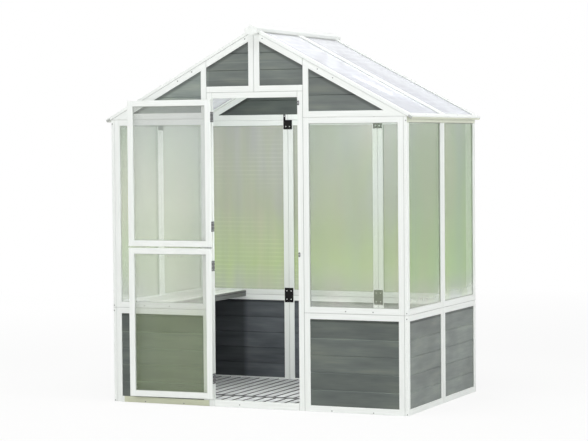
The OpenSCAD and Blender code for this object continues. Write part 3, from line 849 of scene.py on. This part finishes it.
frameScrews = []
sillUp = lowerTop + frameScrew["sill"]
railSpots = [(across, frameScrew["foot"]) for across in frameScrew["footAcross"]]
railSpots += [(across, sillUp) for across in frameScrew["sillAcross"]]
cornerAcross = (frontRun + outerEdge) / 2 + frameScrew["cornerIn"]
cornerUps = (frameScrew["foot"], lowerTop - frameScrew["cornerBelowSill"],
             lowerTop + frameScrew["cornerAboveSill"], wallTop - frameScrew["cornerBelowTop"])
for wall in ("front", "back"):
    view = views[wall]
    frameScrews += bothSides(view, railSpots, frontFace)
    frameScrews += bothSides(view, [(cornerAcross, up) for up in cornerUps], sideRun)
    frameScrews += bothSides(view, frameScrew["gable"], frontFace)
for side in (1, -1):
    frameScrews.append(spot(views["back"], side * frameScrew["backSillAcross"], sillUp, frontFace))
frameScrews.append(spot(views["front"], *frameScrew["threshold"], -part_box("threshold")[0].y))
setOut("frame_screws", screwHead, frameScrews, "house", dullSteel)

# the eave rail of each roof panel is screwed down from above
roofScrews = []
for side, view in slopes.items():
    panels = solidBoxes(side + "_roof_frames", view)
    foot, top = panels[0][0][1], panels[0][1][2]
    for depth in frameScrew["eaveAlong"]:
        along = depth if side == "right" else -depth
        roofScrews.append(spot(view, along, foot + half, top))
setOut("roof_screws", screwHead, roofScrews, "house", dullSteel)


# screws in the steel plates, as distances from the middle or an edge of a plate

plateScrew = {
    "midAcross": 15 * mm,
    "midUp": 27 * mm,
    "topAcross": 13 * mm,
    "topUps": (18 * mm, 46 * mm),
    "tongueAcross": -23 * mm,
    "tongueDown": 10 * mm,
    "tongueOver": 65 * mm,  # plates taller than this have a tongue that reaches up to the gable
    "hingeIn": 7.5 * mm,
    "hingeStep": 21 * mm,
    "smallHead": 0.75,
}


def facingIn(low, high):
    # the wall frame of a plate that is fixed to the room side of a wall, with its middle and its face
    middle = [(a + b) / 2 for a, b in zip(low, high)]
    if high[1] - low[1] < high[0] - low[0]:
        return views["front"], middle[0], -low[1]
    if middle[0] > 0:
        return views["left"], -middle[1], -low[0]
    return views["right"], middle[1], high[0]


plateScrews = []
for low, high in solidBoxes("middle_brackets"):
    view, across, face = facingIn(low, high)
    middle = (low[2] + high[2]) / 2
    plateScrews += [spot(view, across + a * plateScrew["midAcross"], middle + b * plateScrew["midUp"], face)
                    for a in (-1, 1) for b in (-1, 1)]
for low, high in solidBoxes("upper_brackets"):
    view, across, face = facingIn(low, high)
    hasTongue = high[2] - low[2] > plateScrew["tongueOver"]
    for up in plateScrew["topUps"][:1 if hasTongue else 2]:
        for a in (-1, 1):
            plateScrews.append(spot(view, across + a * plateScrew["topAcross"], low[2] + up, face))
    if hasTongue:
        across += plateScrew["tongueAcross"]
        plateScrews.append(spot(view, across, high[2] - plateScrew["tongueDown"], face))
setOut("bracket_screws", screwHead, plateScrews, "house", paleZinc)

small = Matrix.Scale(plateScrew["smallHead"], 4)


def hingeSpots(node, plateEnd, inward):
    # three screws up every hinge plate, on the side that faces the doorway
    face = max(v.co.x for v in nodes[node].data.vertices if abs(v.co.y - plateEnd) < 0.2 * mm)
    spots = []
    for low, high in solidBoxes(node):
        middle = (low[2] + high[2]) / 2
        for step in (-1, 0, 1):
            up = middle + step * plateScrew["hingeStep"]
            spots.append(spot(views["right"], plateEnd + inward, up, face) @ small)
    return spots


jambPlate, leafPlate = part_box("jamb_hinges")[1].y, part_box("lower_door_hinges")[0].y
hingeScrews = hingeSpots("jamb_hinges", jambPlate, -plateScrew["hingeIn"])
setOut("jamb_hinge_screws", screwHead, hingeScrews, "house", paleZinc)
for leaf in ("upper", "lower"):
    hingeScrews = hingeSpots(leaf + "_door_hinges", leafPlate, plateScrew["hingeIn"])
    setOut(leaf + "_hinge_screws", screwHead, hingeScrews, leaf + "_door", paleZinc)

catchSpots = []
for low, high in solidBoxes("door_catches"):
    catchSpots.append(spot(views["front"], (low[0] + high[0]) / 2, (low[2] + high[2]) / 2, -low[1]) @ small)
setOut("catch_screws", screwHead, catchSpots, "house", paleZinc)

# two nails where a floor board crosses a joist, and where a slat crosses the ends and bearers of the shelf
nailSpots = {
    "boardIn": 10 * mm,
    "shake": 1 * mm,
    "leastCrossing": 20 * mm,
    "slatIn": 14 * mm,
    "slatEnd": 18 * mm,
    "bearers": (-0.2, 0.2),
}
flat = Matrix.Identity(4)
deckNails = []
for low, high in deck:
    for joistLow, joistHigh in solidBoxes("floor_joists"):
        near, far = max(low[1], joistLow[1]), min(high[1], joistHigh[1])
        if far - near < nailSpots["leastCrossing"]:
            continue
        for across in (low[0] + nailSpots["boardIn"], high[0] - nailSpots["boardIn"]):
            shaken = across + dice.uniform(-1, 1) * nailSpots["shake"]
            deckNails.append(spot(flat, shaken, (near + far) / 2, high[2]))
setOut("floor_nails", nailHead, deckNails, "house", dullSteel)
slatNails = []
for low, high in slats:
    for depth in (low[1] + nailSpots["slatEnd"], *nailSpots["bearers"], high[1] - nailSpots["slatEnd"]):
        for across in (low[0] + nailSpots["slatIn"], high[0] - nailSpots["slatIn"]):
            slatNails.append(spot(flat, across, depth, high[2]))
setOut("shelf_nails", nailHead, slatNails, "house", dullSteel)
for part in (screwHead, nailHead):
    bpy.data.objects.remove(part)


# glazing seals: a thin bead round the outer opening of every sheet, grey where the groove's shadow line
# falls

def makeSeal(name, low, high):
    # low and high are the corners of a sheet in its wall frame, and the bead lies on it along the opening
    hidden = groove - seal["fit"]
    size = (high[0] - low[0] - 2 * hidden, high[1] - low[1] - 2 * hidden)
    bpy.ops.object.select_all(action="DESELECT")
    bpy.ops.mesh.primitive_plane_add(size=1)
    bead = freshPiece(name)
    bpy.ops.object.mode_set(mode="EDIT")
    bpy.ops.mesh.select_all(action="SELECT")
    bpy.ops.transform.resize(value=(size[0], size[1], 1))
    bpy.ops.transform.translate(value=((low[0] + high[0]) / 2, (low[1] + high[1]) / 2, high[2]))
    bpy.ops.mesh.inset(thickness=seal["wide"])
    bpy.ops.mesh.delete(type="FACE")
    bpy.ops.object.mode_set(mode="OBJECT")
    thicken = bead.modifiers.new("thicken", "SOLIDIFY")
    thicken.thickness = seal["thick"]
    thicken.offset = 1
    bpy.ops.object.modifier_apply(modifier="thicken")
    soften = bead.modifiers.new("soften", "BEVEL")
    soften.width = seal["round"]
    soften.segments = 2
    soften.limit_method = "ANGLE"
    bpy.ops.object.modifier_apply(modifier="soften")
    return donePiece(bead, smoothAngle=50)


def sealNode(node, view, body):
    beads = []
    for low, high in solidBoxes(node, view):
        bead = makeSeal(node + "_seal", low, high)
        bead.data.transform(view)
        beads.append(bead)
    bind(joinPieces(beads), body, rubber)


leafOpen = 3  # degrees that the open leaves stand off the wall
for wall, view in views.items():
    sealNode(wall + "_sheets", view, "house")
for side, view in slopes.items():
    sealNode(side + "_roof_sheets", view, "house")
for leaf in ("upper", "lower"):
    sealNode(leaf + "_door_sheet", wallFrame(leafOpen), leaf + "_door")
print("seals laid")


# studio: a pale painted floor and a white surround, with soft light from all sides, above and inside

studio = {
    "floorSize": 60.0,
    "floorColour": "#e6e6e4",
    "floorShow": 0.12,  # how much of the real, shadowed floor the camera sees
    "fadeFrom": 3.0,
    "fadeTo": 9.0,
    "surround": 0.26,
}
# places and aims in metres, power in watts
lamps = {
    "front_softbox": {"place": (-0.6, -9.0, 3.0), "aim": (0.0, 0.0, 1.1), "size": (6.0, 3.0), "power": 290},
    "right_softbox": {"place": (7.6, -1.4, 3.0), "aim": (0.9, 0.0, 1.0), "size": (3.0, 3.5), "power": 255},
    "overhead_softbox": {"place": (0.3, -1.8, 7.5), "aim": (0.0, -0.2, 1.0), "size": (4.5, 3.0),
                         "power": 300},
    "rear_softbox": {"place": (-5.5, 6.5, 3.2), "aim": (0.0, 0.0, 1.1), "size": (4.0, 3.0), "power": 190},
    "left_softbox": {"place": (-6.5, -0.6, 2.6), "aim": (-0.9, 0.0, 1.1), "size": (3.0, 3.0), "power": 45},
    "inside_fill_low": {"place": (0.1, -0.42, 0.5), "aim": (0.0, 0.6, 0.35), "size": (1.4, 0.6),
                        "power": 4.5},
    "inside_fill_high": {"place": (0.2, -0.36, 1.76), "aim": (0.0, 0.6, 2.15), "size": (1.1, 0.4),
                         "power": 6.0},
    "inside_fill_left": {"place": (0.45, -0.15, 1.15), "aim": (-0.93, -0.1, 1.1), "size": (0.6, 1.0),
                         "power": 4, "spread": 75},
}


def showsBackground(tree):
    # one for the rays that should find plain white: straight to the camera, mirrored or through a sheet
    rays = addNode(tree, "LightPath").outputs
    seen = addNode(tree, "Math", [rays["Is Camera Ray"], rays["Is Glossy Ray"]], operation="MAXIMUM")
    return addNode(tree, "Math", [seen, rays["Is Transmission Ray"]], operation="MAXIMUM")


def makeFloor():
    bpy.ops.object.select_all(action="DESELECT")
    bpy.ops.mesh.primitive_plane_add(size=studio["floorSize"], location=(0, 0, cadLow.z))
    floor = bpy.context.object
    floor.name = "studio_floor"
    material, tree, place = startMaterial("studio_floor_paint")
    distance = addNode(tree, "VectorMath", [place], operation="LENGTH").outputs["Value"]
    fade = addNode(tree, "MapRange", [distance, studio["fadeFrom"], studio["fadeTo"],
                                      1 - studio["floorShow"], 1.0])
    white = addNode(tree, "Math", [fade, showsBackground(tree)], operation="MULTIPLY")
    paint = addNode(tree, "BsdfDiffuse", {"Color": srgb(studio["floorColour"])})
    glow = addNode(tree, "Emission", {"Color": (1, 1, 1, 1), "Strength": 1.0})
    addNode(tree, "OutputMaterial", [addNode(tree, "MixShader", [white, paint, glow])])
    floor.data.materials.append(material)
    floor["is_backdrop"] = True


def makeSurround():
    world = bpy.data.worlds.new("studio_surround")
    bpy.context.scene.world = world
    world.use_nodes = True
    tree = world.node_tree
    tree.nodes.clear()
    soft = addNode(tree, "Background", {"Color": (1, 1, 1, 1), "Strength": studio["surround"]})
    white = addNode(tree, "Background", {"Color": (1, 1, 1, 1), "Strength": 1.0})
    addNode(tree, "OutputWorld", [addNode(tree, "MixShader", [showsBackground(tree), soft, white])])


def addLamp(name, place, aim, size, power, spread=180):
    data = bpy.data.lights.new(name, "AREA")
    data.shape = "RECTANGLE"
    data.size, data.size_y = size
    data.energy = power
    data.spread = math.radians(spread)
    lamp = bpy.data.objects.new(name, data)
    bpy.context.scene.collection.objects.link(lamp)
    lamp.location = place
    lamp.rotation_euler = (Vector(aim) - Vector(place)).to_track_quat("-Z", "Y").to_euler()
    lamp.visible_camera = False


makeFloor()
makeSurround()
for name, settings in lamps.items():
    addLamp(name, **settings)
print("studio ready")


# camera, with its angles in degrees

camera = {
    "place": (4.8955, -11.1199, 1.5694),
    "turn": 23.828,
    "down": 2.300,
    "roll": -0.475,
    "lens": 121.5,
    "seesTo": 200,
}


def placeCamera():
    data = bpy.data.cameras.new("camera")
    data.lens = camera["lens"]
    data.clip_end = camera["seesTo"]
    view = bpy.data.objects.new("camera", data)
    bpy.context.scene.collection.objects.link(view)
    turn, tilt, roll = (math.radians(a) for a in (camera["turn"], 90 - camera["down"], camera["roll"]))
    view.matrix_world = (Matrix.Translation(camera["place"]) @ Matrix.Rotation(turn, 4, "Z")
                         @ Matrix.Rotation(tilt, 4, "X") @ Matrix.Rotation(roll, 4, "Z"))
    bpy.context.scene.camera = view


placeCamera()
bpy.context.scene.view_settings.view_transform = "Standard"

low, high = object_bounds()
